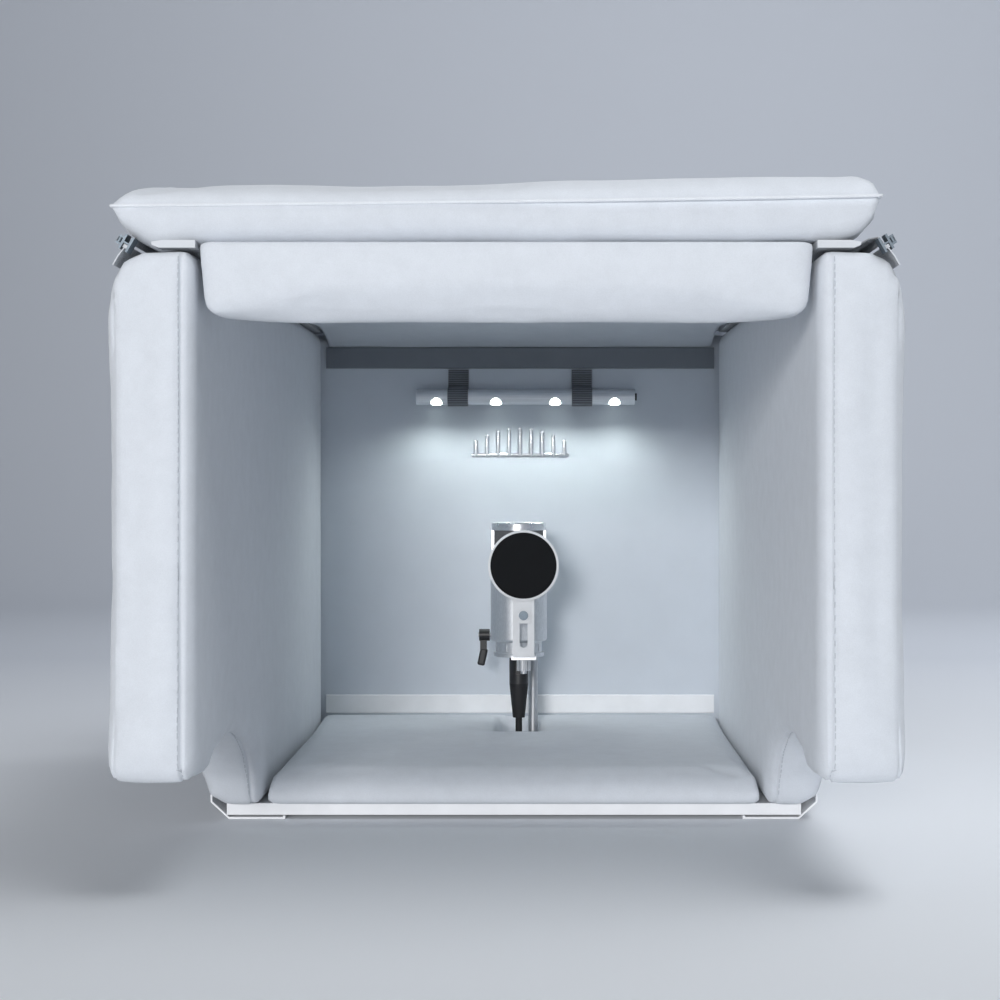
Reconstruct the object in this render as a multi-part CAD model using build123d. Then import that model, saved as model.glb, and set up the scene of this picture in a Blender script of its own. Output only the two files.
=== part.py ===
"""Portable vocal booth: a padded box, open at the front, with a microphone held inside it.

Frame: millimetres, +Z up, X across, the open side faces -Y. The origin is the centre of the
bounding box's bottom face: the underside of the two bracket rails that the booth stands on.
"""
from build123d import *
from math import cos, radians, sin
import os

# ---- booth shell -------------------------------------------------------------------------
HALF_W = 274.5          # half of the overall width
HALF_D = 420.0          # half of the overall depth
WALL = 60.0             # thickness of a padded wall
INNER_W = HALF_W - WALL
FRONT = -HALF_D
WALL_FACE = HALF_D - WALL   # inside face of the rear wall
WALL_BACK = HALF_D - 1.0    # outside face of the rear wall, behind which the hinge cloth lies
SKIN = 2.0              # cloth and its lining
PANEL_TOP = 452.5
SOFT_EDGE = 4.0         # rounding of sewn edges
TOP_CORNER_R = 27.0     # outer top corner of a side panel, which the zip runs along
FOOT_HALF_W = 262.0
SHOULDER_ARCH_TOP = 100.0
LOBE_BOTTOM = 85.0

# ---- base --------------------------------------------------------------------------------
SHEET = 1.5             # bent sheet of the bracket rails
BOARD_BOTTOM = 3.5
BOARD_THICK = 10.0
BOARD_TOP = BOARD_BOTTOM + BOARD_THICK
BOARD_HALF_W = 248.5
BOARD_FRONT = -74.5
BASE_TOP = 39.5         # top of the base cushion
BASE_FRONT = -92.0
BASE_NOSE_R = 24.0
SLOT_HALF_W = 22.0
SLOT_FRONT = 211.5
SLOT_BACK = 352.0
STAND_Y = 80.0          # centre of the stand's bolt pattern
STAND_PITCH = 80.0
STAND_BOLT_R = 3.0
INSERT_R = 5.0

# ---- roof --------------------------------------------------------------------------------
ROOF_BOTTOM = 458.5
ROOF_TOP = 499.0
ROOF_RIDGE = 482.0      # height of the ridge seam
ROOF_FLAT_W = 238.0     # half width of the flat underside
ROOF_RIDGE_W = 267.0
ROOF_TOP_W = 257.0
ROOF_BACK = WALL_BACK - 0.4
VALANCE_BOTTOM = 406.0
VALANCE_DEPTH = 48.0
LINER_HALF_W = 212.0

# ---- zips: the chain runs along Y, its face looks out and up ------------------------------
ZIP_X, ZIP_Z = 261.5, 456.0
ZIP_TURN = 30.0         # the chain's face looks this far above the horizontal
TOOTH_W, TOOTH_H = 2.6, 3.0
TOOTH_OFFSET = 2.3      # from the chain's middle to the middle of one row of teeth
TAPE = 0.8
SLIDER_LEN = 13.0
SLIDER_FRONT = FRONT + 1.0
ZIP_TRAVEL = 760.0

# ---- light -------------------------------------------------------------------------------
LIGHT_X, LIGHT_Y, LIGHT_Z = 6.0, 345.0, 383.5
LIGHT_LEN = 236.0
LIGHT_R = 8.5
LED_PITCH = 64.0
LED_TURN = 35.0         # the lenses look this far above straight down, towards the front
STRAP_X, STRAP_W, STRAP_THICK = 67.0, 22.0, 1.4
RAIL_HALF_W = 211.0
TOP_RAIL = (415.0, 438.0)
BOTTOM_RAIL = (40.0, 60.0)

# ---- microphone --------------------------------------------------------------------------
MIC_Y = 247.5
MIC_R = 29.0
COLLAR_R = 23.5
CRADLE = (112.5, 116.5)
COLLAR_TOP, BODY_TOP, GRILLE_TOP, MIC_TOP = 128.0, 192.0, 242.0, 250.0
PIVOT_Y, PIVOT_Z = 284.0, 131.0
POST_X, POST_R = 14.5, 5.0
AXLE_R = 3.5
ARM = (-6.0, 8.5)         # the cradle's arm, beside the post's head
CARRIAGE_TOP = BOARD_TOP + 3.3
PLUG_R, PLUG_BOTTOM, BOOT_BOTTOM = 9.75, 84.0, 49.0
LEAD_R = 3.4
POP_X, POP_Y, POP_Z, POP_R = 5.5, 185.5, 208.0, 35.3
BAR_Y, BAR_W, BAR_THICK = 189.0, 21.5, 2.2
THUMB_Y = 206.0

# ---- small helpers -----------------------------------------------------------------------


def box(x, y, z):
    """A block between two values along each axis."""
    sizes = [hi - lo for lo, hi in (x, y, z)]
    middle = [(hi + lo) / 2 for lo, hi in (x, y, z)]
    return Pos(*middle) * Box(*sizes)


def rod(radius, x, y, z):
    """A cylinder along the one axis that is given as a pair of values."""
    if isinstance(x, tuple):
        turn, span, middle = Rot(0, 90, 0), x, (sum(x) / 2, y, z)
    elif isinstance(y, tuple):
        turn, span, middle = Rot(90, 0, 0), y, (x, sum(y) / 2, z)
    else:
        turn, span, middle = Rot(0, 0, 0), z, (x, y, sum(z) / 2)
    return Pos(*middle) * turn * Cylinder(radius, span[1] - span[0])


def plate_across(face, x):
    """Push a face drawn in (Y, Z) out along X between two values."""
    return extrude(Plane.YZ.offset(x[0]) * face, x[1] - x[0])


def plate_along(face, y):
    """Push a face drawn in (X, Z) out along Y between two values."""
    return extrude(Plane(origin=(0, y[0], 0), x_dir=(1, 0, 0), z_dir=(0, -1, 0)) * face, y[0] - y[1])


def outline(*points):
    return make_face(Polyline(*points, close=True))


def save(name, shape):
    solids = shape.solids()
    export_step(solids[0] if len(solids) == 1 else Compound(children=solids), f"parts/{name}.step")


def mirrored(shape):
    return mirror(shape, about=Plane.YZ)


def soft_pair(name, outer, inner, core=None):
    """Save a padded piece as its cloth cover and its foam, with a hole for a stiffener."""
    save(f"{name}_cover", outer - inner)
    save(f"{name}_foam", inner - core if core else inner)


# ---- base board, bracket rails, stand inserts --------------------------------------------


def stand_points():
    half = STAND_PITCH / 2
    return [(sx * half, STAND_Y + sy * half) for sx in (-1, 1) for sy in (-1, 1)]


def base_board():
    board = box((-BOARD_HALF_W, BOARD_HALF_W), (BOARD_FRONT, WALL_BACK), (BOARD_BOTTOM, BOARD_TOP))
    for x, y in stand_points():
        board -= rod(INSERT_R, x, y, (0, BOARD_TOP + 1))
    board -= box((-15, 15), (225, 318), (0, BOARD_TOP + 1))
    for x, y in screw_points():
        board -= rod(2.0, x, y, (BOARD_BOTTOM - 1, BOARD_BOTTOM + 8))
    return board


def screw_points():
    return [(side * 225, y) for side in (-1, 1) for y in (-40, 180, 395)]


def bracket_rail():
    """Bent sheet under the right edge: a flat flange, a slope and a short upright lip."""
    face = outline((198, 0), (247, 0), (262.6, 14.4), (262.6, 21), (261.1, 21), (261.1, 15.0),
                   (246.4, SHEET), (200, SHEET), (200, 2.8), (198, 2.8))
    rail = plate_along(face, (BOARD_FRONT, WALL_BACK))
    for x, y in screw_points():
        rail -= rod(2.0, x, y, (-1, 2))
    return rail


def bracket_screws():
    """Flush screws, each through a spacer washer between the rail and the board."""
    screws = []
    for x, y in screw_points():
        washer = rod(6, x, y, (SHEET, BOARD_BOTTOM))
        screws.append(washer + rod(2.0, x, y, (0, BOARD_BOTTOM + 8)))
    return Compound(children=screws)


def stand_inserts():
    rings = [rod(INSERT_R, x, y, (BOARD_BOTTOM, BOARD_TOP)) - rod(STAND_BOLT_R, x, y, (0, 20))
             for x, y in stand_points()]
    return Compound(children=rings)


# ---- padded shell ------------------------------------------------------------------------


def base_cushion(inset):
    """The floor pad: a rounded nose at the front and a slot for the microphone's post."""
    face = outline((BASE_FRONT + inset, BOARD_TOP + inset), (WALL_FACE - inset, BOARD_TOP + inset),
                   (WALL_FACE - inset, BASE_TOP - inset), (BASE_FRONT + inset, BASE_TOP - inset))
    nose = face.vertices().sort_by(Axis.X)[:2].sort_by(Axis.Y)[-1]
    face = fillet(nose, BASE_NOSE_R - inset)
    half = INNER_W - 1 - inset
    pad = plate_across(face, (-half, half))
    slot_w, back = SLOT_HALF_W + inset, SLOT_BACK + inset
    front = SLOT_FRONT - inset
    slot = box((-slot_w, slot_w), (front, back - slot_w), (0, 60))
    slot += rod(slot_w, 0, back - slot_w, (0, 60))
    return pad - slot


def side_profile(inset):
    """Side view of a side panel, in (Y, Z): the shoulder arch lies between the lobe and the foot."""
    low, lobe, top = BOARD_TOP + inset, LOBE_BOTTOM + inset, PANEL_TOP - inset
    front, back = FRONT + inset, WALL_FACE - inset
    foot = (-96 + inset, low)
    arch = Spline(foot, (-137 + inset, 66 + inset), (-190, 89 + inset), (-265, SHOULDER_ARCH_TOP + inset),
                  (-330, 92 + inset), (-385, lobe), tangents=((-0.25, 1), (-1, 0)))
    rest = Polyline((-385, lobe), (front, lobe), (front, top), (back, top), (back, low), foot)
    face = make_face(arch + rest)
    corner = face.vertices().sort_by(Axis.X)[:2].sort_by(Axis.Y)[0]
    return fillet(corner, 19 - inset)


def side_section(inset):
    """Front view of the right side panel, in (X, Z)."""
    low = BOARD_TOP + inset
    inner, outer, top = INNER_W + inset, HALF_W - inset, PANEL_TOP - inset
    face = outline((inner, low), (250 - inset, low), (FOOT_HALF_W - inset, 25), (outer, 75),
                   (outer, top), (inner, top))
    top_corners = face.vertices().sort_by(Axis.Y)[-2:].sort_by(Axis.X)
    face = fillet(top_corners[1], TOP_CORNER_R - inset)
    return face


def side_panel(inset):
    slab = plate_across(side_profile(inset), (INNER_W - 5, HALF_W + 5))
    panel = slab & plate_along(side_section(inset), (FRONT - 5, WALL_FACE + 5))
    sewn = [e for e in panel.edges() if e.bounding_box().size.X < 0.5
            and e.center().Y < BASE_FRONT and e.center().Z < PANEL_TOP - 10]
    return fillet(sewn, SOFT_EDGE - inset / 2)


def side_board(grow=0.0):
    return box((243 - grow, 248 + grow), (-395 - grow, 345 + grow), (112 - grow, 430 + grow))


def rear_wall(inset):
    """Full-width wall whose outline matches the side panels, with round upright rear corners."""
    low, top, half = BOARD_TOP + inset, PANEL_TOP - inset, HALF_W - inset
    right = [(250 - inset, low), (FOOT_HALF_W - inset, 25), (half, 75), (half, top)]
    face = outline(*right, *[(-x, z) for x, z in reversed(right)])
    face = fillet(face.vertices().sort_by(Axis.Y)[-2:], TOP_CORNER_R - inset)
    y = (WALL_FACE + inset, WALL_BACK - inset)
    plan = outline((-half, y[0]), (half, y[0]), (half, y[1]), (-half, y[1]))
    plan = fillet(plan.vertices().sort_by(Axis.Y)[-2:], 34 - inset)
    return plate_along(face, y) & extrude(plan, 500)


def rear_board(grow=0.0):
    return box((-225 - grow, 225 + grow), (388 - grow, 393 + grow), (30 - grow, 435 + grow))


# ---- roof --------------------------------------------------------------------------------


def roof_panel(inset):
    """A flat pillow with its ridge seam sticking out below the middle of its edge."""
    low, high = ROOF_BOTTOM + inset, ROOF_TOP - inset
    half = [(ROOF_FLAT_W - inset, low), (ROOF_RIDGE_W - 1.4 * inset, ROOF_RIDGE), (ROOF_TOP_W - inset, high)]
    face = outline(*half, *[(-x, z) for x, z in reversed(half)])
    panel = plate_along(face, (FRONT + inset, ROOF_BACK - inset))
    ends = panel.edges().filter_by(Axis.X).filter_by(lambda e: e.length > 400)
    return fillet(ends, 9 - inset)


def roof_board(grow=0.0):
    return box((-225 - grow, 225 + grow), (-400 - grow, 400 + grow), (477 - grow, 481 + grow))


def ceiling_liner():
    """The quilted ceiling cloth, which thickens into a soft roll where it meets the rear wall."""
    y_back = WALL_FACE - 1.0
    low = ROOF_BOTTOM - 3
    roll = Spline((200, low), (300, low - 3.5), (342, low - 9), (y_back, low - 17), tangents=((1, 0), (0.5, -1)))
    front = FRONT + VALANCE_DEPTH
    rest = Polyline((y_back, low - 17), (y_back, ROOF_BOTTOM), (front, ROOF_BOTTOM), (front, low), (200, low))
    return plate_across(make_face(roll + rest), (-LINER_HALF_W, LINER_HALF_W))


def valance(inset):
    """The padded strip that hangs across the front, between the side panels."""
    half, high = INNER_W - 1.0 - inset, ROOF_BOTTOM - inset
    face = outline((-half + 4, VALANCE_BOTTOM + inset), (half - 4, VALANCE_BOTTOM + inset),
                   (half, high), (-half, high))
    face = fillet(face.vertices().sort_by(Axis.Y)[:2], 12 - inset)
    pad = plate_along(face, (FRONT + inset, FRONT + VALANCE_DEPTH - inset))
    long_edges = [e for e in pad.edges() if e.length > 350 and e.center().Z < high - 5]
    return fillet(long_edges, 9 - inset)


# ---- zips --------------------------------------------------------------------------------


def on_chain(across, out):
    """A point in (X, Z) given in the chain's own directions: across it towards the roof, and out."""
    a = radians(ZIP_TURN)
    return (ZIP_X + across * -sin(a) + out * cos(a), ZIP_Z + across * cos(a) + out * sin(a))


def chain_block(across, out, y):
    corners = [on_chain(across[i], out[j]) for i, j in ((0, 0), (1, 0), (1, 1), (0, 1))]
    return plate_along(outline(*corners), y)


def tooth_row(side, y):
    middle = side * TOOTH_OFFSET
    return chain_block((middle - TOOTH_W / 2, middle + TOOTH_W / 2), (-TOOTH_H / 2, TOOTH_H / 2), y)


def tape(points, y):
    """A strip of cloth that follows a bent line in (X, Z)."""
    line = Polyline(*points)
    return plate_along(trace(line, TAPE), y)


def zip_side():
    """The shell's half of the right-hand zip: teeth and a tape sewn to the side panel."""
    y = (FRONT + 3, WALL_FACE - 2)
    points = [on_chain(-3.2, 0), (267.6, 447.6), (271.2, 441.2)]
    return tooth_row(-1, y) + tape(points, y)


def zip_roof():
    """The roof's half: teeth, a tape, and the padded flange that lies on the side panel's top."""
    y = (SLIDER_FRONT + SLIDER_LEN + 1.5, SLIDER_FRONT + ZIP_TRAVEL - 1.5)
    points = [on_chain(3.2, 0), (258.3, 461.6), (252, 460.6), (244, 456.2)]
    teeth = tooth_row(1, y) + tape(points, y)
    flange = outline((INNER_W + 0.2, 453.2), (240, 453.2), (244.5, 455), (245, 457.2), (238, ROOF_BOTTOM),
                     (INNER_W + 0.2, ROOF_BOTTOM))
    return teeth + plate_along(flange, (FRONT + 4, SLIDER_FRONT + ZIP_TRAVEL - 1.5))


def zip_slider():
    """Two wings joined by a wedge that runs between the rows of teeth, and a bridge for the pull."""
    y = (SLIDER_FRONT, SLIDER_FRONT + SLIDER_LEN)
    gap = TOOTH_H / 2 + 0.4
    slider = chain_block((-5.6, 5.6), (gap, gap + 1.6), y)
    slider += chain_block((-5.6, 5.6), (-gap - 1.6, -gap), y)
    slider += chain_block((-0.6, 0.6), (-gap, gap), (y[0], y[0] + 3.5))
    for side in (-2.6, 2.6):
        slider += chain_block((side - 0.7, side + 0.7), (gap + 1.6, gap + 5.2), (y[0] + 1, y[0] + 5))
    pin = on_chain(0, gap + 3.8)
    bar = Pos(pin[0], y[0] + 3, pin[1]) * Rot(0, -ZIP_TURN, 0) * Cylinder(0.7, 6.6)
    return slider + bar


def zip_pull():
    """The pull tab, folded back along the chain; its eye turns on the slider's bar."""
    gap = TOOTH_H / 2 + 0.4
    y = SLIDER_FRONT + 3
    x, z = on_chain(0, gap + 3.8)
    eye = Pos(x, y, z) * Rot(0, -ZIP_TURN, 0) * (Cylinder(1.7, 3.6) - Cylinder(0.76, 4))
    tab = chain_block((-1.8, 1.8), (gap + 3.1, gap + 4.5), (y + 1.2, y + 6))
    tab += chain_block((-3.4, 3.4), (gap + 3.1, gap + 4.5), (y + 6, y + 24))
    return eye + tab - chain_block((-1.8, 1.8), (gap + 2, gap + 6), (y + 16, y + 21))


# ---- fittings on the rear wall -----------------------------------------------------------


def rail(z):
    strip = box((-RAIL_HALF_W, RAIL_HALF_W), (WALL_FACE - 2.4, WALL_FACE), z)
    return chamfer(strip.edges().filter_by(Axis.X).sort_by(Axis.Y)[:2], 0.8)


def light_strap(x):
    """An elastic loop round the light, sewn to the wall behind the top rail."""
    inner = LIGHT_R + 0.3
    ring = Circle(inner + STRAP_THICK) - Circle(inner)
    tail = trace(Polyline((LIGHT_Y + inner + 0.6, LIGHT_Z + 2), (WALL_FACE - 2.0, TOP_RAIL[0] - 1.5)), STRAP_THICK)
    face = Pos(LIGHT_Y, LIGHT_Z) * ring + (tail - Pos(LIGHT_Y, LIGHT_Z) * Circle(inner))
    return plate_across(face, (x - STRAP_W / 2, x + STRAP_W / 2))


def badge():
    """A plain ornament: rounded bars of rising and falling height on one base line."""
    y = (WALL_FACE - 2.0, WALL_FACE)
    ornament = box((-54, 54), y, (320, 322.4))
    count = 9
    for i in range(count):
        height = 12 + 16 * sin(radians(180 * (i + 0.5) / count))
        x = (i - (count - 1) / 2) * 12
        bar = box((x - 1.8, x + 1.8), y, (321, 321 + height))
        ornament += bar + rod(1.8, x, y, 321 + height)
    return ornament


# ---- light -------------------------------------------------------------------------------


def led_positions():
    return [LIGHT_X + (i - 1.5) * LED_PITCH for i in range(4)]


def at_led(x, distance):
    """A place on the line along which the lens at x looks, measured from the tube's axis."""
    a = radians(LED_TURN)
    return Pos(x, LIGHT_Y - distance * sin(a), LIGHT_Z - distance * cos(a)) * Rot(-LED_TURN, 0, 0)


def light_tube():
    half = LIGHT_LEN / 2 - 3
    span = (LIGHT_X - half, LIGHT_X + half)
    tube = rod(LIGHT_R, span, LIGHT_Y, LIGHT_Z) - rod(LIGHT_R - 1.4, span, LIGHT_Y, LIGHT_Z)
    for x in led_positions():
        tube -= at_led(x, LIGHT_R) * Cylinder(6.1, 8)
    return tube


def light_lenses():
    """Four clear domes, each seated in its hole in the tube."""
    domes = [at_led(x, LIGHT_R - 2.2) * (Sphere(6.0) & Pos(0, 0, -1.6) * Box(20, 20, 4.4))
             for x in led_positions()]
    return Compound(children=[d & rod(LIGHT_R + 0.4, (-200, 200), LIGHT_Y, LIGHT_Z) for d in domes])


def light_end_caps():
    caps = []
    for side in (-1, 1):
        tip = LIGHT_X + side * LIGHT_LEN / 2
        cap = rod(LIGHT_R, tuple(sorted((tip - side * 3, tip))), LIGHT_Y, LIGHT_Z)
        cap += rod(LIGHT_R - 1.4, tuple(sorted((tip - side * 9, tip - side * 3))), LIGHT_Y, LIGHT_Z)
        if side > 0:
            cap -= rod(4.3, (tip - 10, tip + 1), LIGHT_Y, LIGHT_Z)
        caps.append(cap)
    return Compound(children=caps)


def light_switch():
    tip = LIGHT_X + LIGHT_LEN / 2
    return rod(4.0, (tip - 5, tip + 2.2), LIGHT_Y, LIGHT_Z)


def light_batteries():
    cells = []
    for i in range(3):
        start = LIGHT_X - 92 + i * 46
        cells.append(rod(5.2, (start, start + 44.5), LIGHT_Y + 1.0, LIGHT_Z + 1.2))
    return Compound(children=cells)


# ---- microphone carriage, post and swivel -------------------------------------------------


def carriage():
    """The plate that slides in the base cushion's slot, with an oval hole for the connector."""
    plate = box((-18, 20.4), (224, 300), (BOARD_TOP + 0.3, CARRIAGE_TOP))
    plate = fillet(plate.edges().filter_by(Axis.Z), 4)
    plate -= rod(9.0, 0, MIC_Y, (0, 30))
    plate += rod(5.2, POST_X, PIVOT_Y, (CARRIAGE_TOP, CARRIAGE_TOP + 8))
    return plate - rod(3.0, POST_X, PIVOT_Y, (0, 60))


def post():
    """Upright rod on the carriage; its head is the fixed half of the tilting joint."""
    x = POST_X
    lower = rod(3.0, x, PIVOT_Y, (BOARD_TOP + 0.5, CARRIAGE_TOP + 8))
    column = rod(POST_R, x, PIVOT_Y, (CARRIAGE_TOP + 8, PIVOT_Z - 12))
    head = box((x - 5, x + 9), (PIVOT_Y - 6.5, PIVOT_Y + 6.5), (PIVOT_Z - 12, PIVOT_Z))
    head += rod(6.5, (x - 5, x + 9), PIVOT_Y, PIVOT_Z)
    return lower + column + head - rod(AXLE_R, (x - 20, x + 20), PIVOT_Y, PIVOT_Z)


def axle():
    """The joint's bolt, fixed in the post's head, with a washer at its far end."""
    return (rod(AXLE_R, (-30, POST_X + 9), PIVOT_Y, PIVOT_Z) + rod(6.0, (POST_X + 9, POST_X + 12), PIVOT_Y, PIVOT_Z)
            + rod(2.5, (-43, -30), PIVOT_Y, PIVOT_Z))


def clamp_lever():
    """Hub on the end of the bolt and a curved handle that hangs from it."""
    hub = rod(6.2, (-42, -31), PIVOT_Y, PIVOT_Z) - rod(2.56, (-50, -20), PIVOT_Y, PIVOT_Z)
    neck = box((-41, -34), (PIVOT_Y - 3.2, PIVOT_Y + 3.2), (PIVOT_Z - 17, PIVOT_Z - 5))
    grip = Pos(-38.5, PIVOT_Y, PIVOT_Z - 23) * Rot(0, 12, 0) * Box(8, 7.5, 18)
    grip = fillet(grip.edges(), 2.2)
    return hub + neck + grip


def floor_connector():
    """Pass-through connector in the carriage; its lower face is where the booth's cable plugs in."""
    body = rod(8.95, 0, MIC_Y, (4.2, CARRIAGE_TOP + 4)) + rod(11.5, 0, MIC_Y, (CARRIAGE_TOP + 0.1, CARRIAGE_TOP + 4))
    return body - rod(7.2, 0, MIC_Y, (0, 12))


def lead():
    return rod(LEAD_R, 0, MIC_Y, (CARRIAGE_TOP + 4, BOOT_BOTTOM))


# ---- microphone --------------------------------------------------------------------------


def cradle():
    """Plate under the microphone: hole for the plug, tongue for the pop screen, arm to the bolt."""
    plate = rod(26, 0, MIC_Y, CRADLE) + box((-7, 18), (197, MIC_Y), CRADLE) + box(ARM, (MIC_Y, PIVOT_Y), CRADLE)
    plate -= rod(10.4, 0, MIC_Y, (100, 130))
    plate -= rod(2.6, POP_X, THUMB_Y, (100, 130))
    arm = box(ARM, (PIVOT_Y - 6, PIVOT_Y + 6), (CRADLE[0], PIVOT_Z)) + rod(6, ARM, PIVOT_Y, PIVOT_Z)
    return plate + arm - rod(AXLE_R + 0.06, (-30, 30), PIVOT_Y, PIVOT_Z)


def collar():
    ring = rod(COLLAR_R, 0, MIC_Y, (CRADLE[1], COLLAR_TOP)) - rod(11, 0, MIC_Y, (100, 140))
    for i in range(12):
        groove = Pos(COLLAR_R * cos(radians(30 * i)), MIC_Y + COLLAR_R * sin(radians(30 * i)), 122)
        ring -= groove * Rot(0, 0, 30 * i) * Box(2.4, 1.2, 7)
    return ring


def mic_body():
    tube = rod(MIC_R, 0, MIC_Y, (COLLAR_TOP, BODY_TOP))
    tube = fillet(tube.edges().sort_by(Axis.Z)[0], 3)
    return tube - rod(MIC_R - 2.5, 0, MIC_Y, (COLLAR_TOP + 3, BODY_TOP + 1)) - rod(9, 0, MIC_Y, (100, 140))


def grille_frame():
    """Bright frame of the head: a foot ring, two side posts and the cap."""
    ring = rod(MIC_R - 0.5, 0, MIC_Y, (BODY_TOP, BODY_TOP + 4)) - rod(MIC_R - 3, 0, MIC_Y, (150, 260))
    cap = rod(MIC_R - 1, 0, MIC_Y, (GRILLE_TOP, MIC_TOP))
    cap = fillet(cap.edges().sort_by(Axis.Z)[-1], 2)
    band = rod(MIC_R - 0.5, 0, MIC_Y, (BODY_TOP + 4, GRILLE_TOP)) - rod(MIC_R - 3, 0, MIC_Y, (150, 260))
    sides = band & box((-40, 40), (MIC_Y - 6, MIC_Y + 6), (150, 260))
    return ring + cap + sides


def grille_mesh():
    wall = rod(MIC_R - 3.1, 0, MIC_Y, (BODY_TOP, GRILLE_TOP)) - rod(MIC_R - 4.1, 0, MIC_Y, (150, 260))
    return wall


def capsule():
    """The pick-up: a flat drum on a stem."""
    drum = rod(17, 0, (MIC_Y - 4.5, MIC_Y + 4.5), 218)
    drum = fillet(drum.edges(), 1)
    return drum + box((-6, 6), (MIC_Y - 4, MIC_Y + 4), (186, 203))


def circuit_board():
    return box((-19, 19), (MIC_Y - 0.8, MIC_Y + 0.8), (COLLAR_TOP + 6, 185.9))


def plug():
    """Cable connector: a smooth barrel with a latch button's flat."""
    barrel = rod(PLUG_R, 0, MIC_Y, (PLUG_BOTTOM, CRADLE[1] - 0.2)) + rod(8.8, 0, MIC_Y, (CRADLE[1] - 0.2, 127))
    return barrel - box((-3, 3), (MIC_Y - 12, MIC_Y - PLUG_R + 0.8), (94, 106))


def boot():
    """Tapered rubber sleeve with grip ribs."""
    sleeve = Pos(0, MIC_Y, (PLUG_BOTTOM + BOOT_BOTTOM) / 2) * Cone(6.2, PLUG_R, PLUG_BOTTOM - BOOT_BOTTOM)
    for i in range(12):
        a = radians(30 * i)
        groove = Pos(9.6 * cos(a), MIC_Y + 9.6 * sin(a), 72) * Rot(0, 0, 30 * i) * Box(2.0, 1.0, 18)
        sleeve -= groove
    return sleeve


# ---- pop screen --------------------------------------------------------------------------


def pop_bracket():
    """Slotted bar with a foot that lies on the cradle's tongue."""
    x = (POP_X - BAR_W / 2, POP_X + BAR_W / 2)
    bar = box(x, (BAR_Y, BAR_Y + BAR_THICK), (CRADLE[1], 173.5))
    bar -= box((POP_X - 4, POP_X + 4), (180, 200), (129.5, 162.5))
    for z in (129.5, 162.5):
        bar -= rod(4, POP_X, (180, 200), z)
    foot = box(x, (BAR_Y, 220), (CRADLE[1], CRADLE[1] + BAR_THICK)) - rod(2.6, POP_X, THUMB_Y, (100, 130))
    return bar + foot


def thumb_screw():
    """Knurled head under the cradle, with its shank up through the tongue and foot."""
    head = rod(7, POP_X, THUMB_Y, (101, CRADLE[0] - 0.3))
    for i in range(16):
        a = radians(22.5 * i)
        head -= Pos(POP_X + 7 * cos(a), THUMB_Y + 7 * sin(a), 106) * Cylinder(0.6, 14)
    shank = rod(2.5, POP_X, THUMB_Y, (CRADLE[0] - 0.3, 122))
    return head + shank + rod(3.2, POP_X, THUMB_Y, (98, 101))


def pop_ring():
    """Hoop with a tab that slides on the front of the slotted bar."""
    hoop = rod(POP_R, POP_X, (POP_Y - 3, POP_Y + 3), POP_Z) - rod(POP_R - 2.2, POP_X, (150, 220), POP_Z)
    tab = box((POP_X - 7, POP_X + 7), (POP_Y + 1.4, POP_Y + 3), (150, POP_Z - POP_R + 1.6))
    return hoop + tab - rod(2.5, POP_X, (150, 220), 158)


def pop_mesh():
    return rod(POP_R - 2.2, POP_X, (POP_Y - 0.8, POP_Y + 0.8), POP_Z)


def pop_screw():
    """Screw of the hoop's tab: it passes the bar's slot and carries a nut behind it."""
    head = rod(4.6, POP_X, (POP_Y - 1.2, POP_Y + 1.4), 158)
    shank = rod(2.5, POP_X, (POP_Y + 1.4, BAR_Y + BAR_THICK + 3.2), 158)
    nut = rod(6, POP_X, (BAR_Y + BAR_THICK + 0.35, BAR_Y + BAR_THICK + 3.2), 158)
    return head + shank + nut


# ---- write every piece --------------------------------------------------------------------


def main():
    os.makedirs("parts", exist_ok=True)
    save("base_board", base_board())
    save("bracket_right", bracket_rail())
    save("bracket_left", mirrored(bracket_rail()))
    save("bracket_screws", bracket_screws())
    save("stand_inserts", stand_inserts())

    soft_pair("base", base_cushion(0), base_cushion(SKIN))
    outer, inner = side_panel(0), side_panel(SKIN)
    soft_pair("side_right", outer, inner, side_board())
    soft_pair("side_left", mirrored(outer), mirrored(inner), mirrored(side_board()))
    save("side_right_board", side_board(-0.1))
    save("side_left_board", mirrored(side_board(-0.1)))
    soft_pair("rear", rear_wall(0), rear_wall(SKIN), rear_board())
    save("rear_board", rear_board(-0.1))

    soft_pair("roof", roof_panel(0), roof_panel(SKIN), roof_board())
    save("roof_board", roof_board(-0.1))
    save("ceiling_liner", ceiling_liner())
    save("valance", valance(0))
    hinge = box((-232, 232), (WALL_BACK, HALF_D), (436, 476))
    save("roof_hinge_cloth", hinge)

    for name, make in (("zip_side", zip_side), ("zip_roof", zip_roof), ("zip_slider", zip_slider),
                       ("zip_pull", zip_pull)):
        right = make()
        save(f"{name}_right", right)
        save(f"{name}_left", mirrored(right))

    save("top_rail", rail(TOP_RAIL))
    save("bottom_rail", rail(BOTTOM_RAIL))
    save("light_straps", Compound(children=[light_strap(-STRAP_X), light_strap(STRAP_X)]))
    save("badge", badge())
    save("light_tube", light_tube())
    save("light_lenses", light_lenses())
    save("light_end_caps", light_end_caps())
    save("light_switch", light_switch())
    save("light_batteries", light_batteries())

    save("mic_carriage", carriage())
    save("mic_post", post())
    save("swivel_axle", axle())
    save("clamp_lever", clamp_lever())
    save("floor_connector", floor_connector())
    save("mic_lead", lead())
    save("mic_cradle", cradle())
    save("mic_collar", collar())
    save("mic_body", mic_body())
    save("mic_grille_frame", grille_frame())
    save("mic_grille_mesh", grille_mesh())
    save("mic_capsule", capsule())
    save("mic_circuit_board", circuit_board())
    save("xlr_plug", plug())
    save("xlr_boot", boot())
    save("pop_bracket", pop_bracket())
    save("thumb_screw", thumb_screw())
    save("pop_ring", pop_ring())
    save("pop_mesh", pop_mesh())
    save("pop_screw", pop_screw())


main()
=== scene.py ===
from math import cos, exp, pi, radians, sin, sqrt

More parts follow.
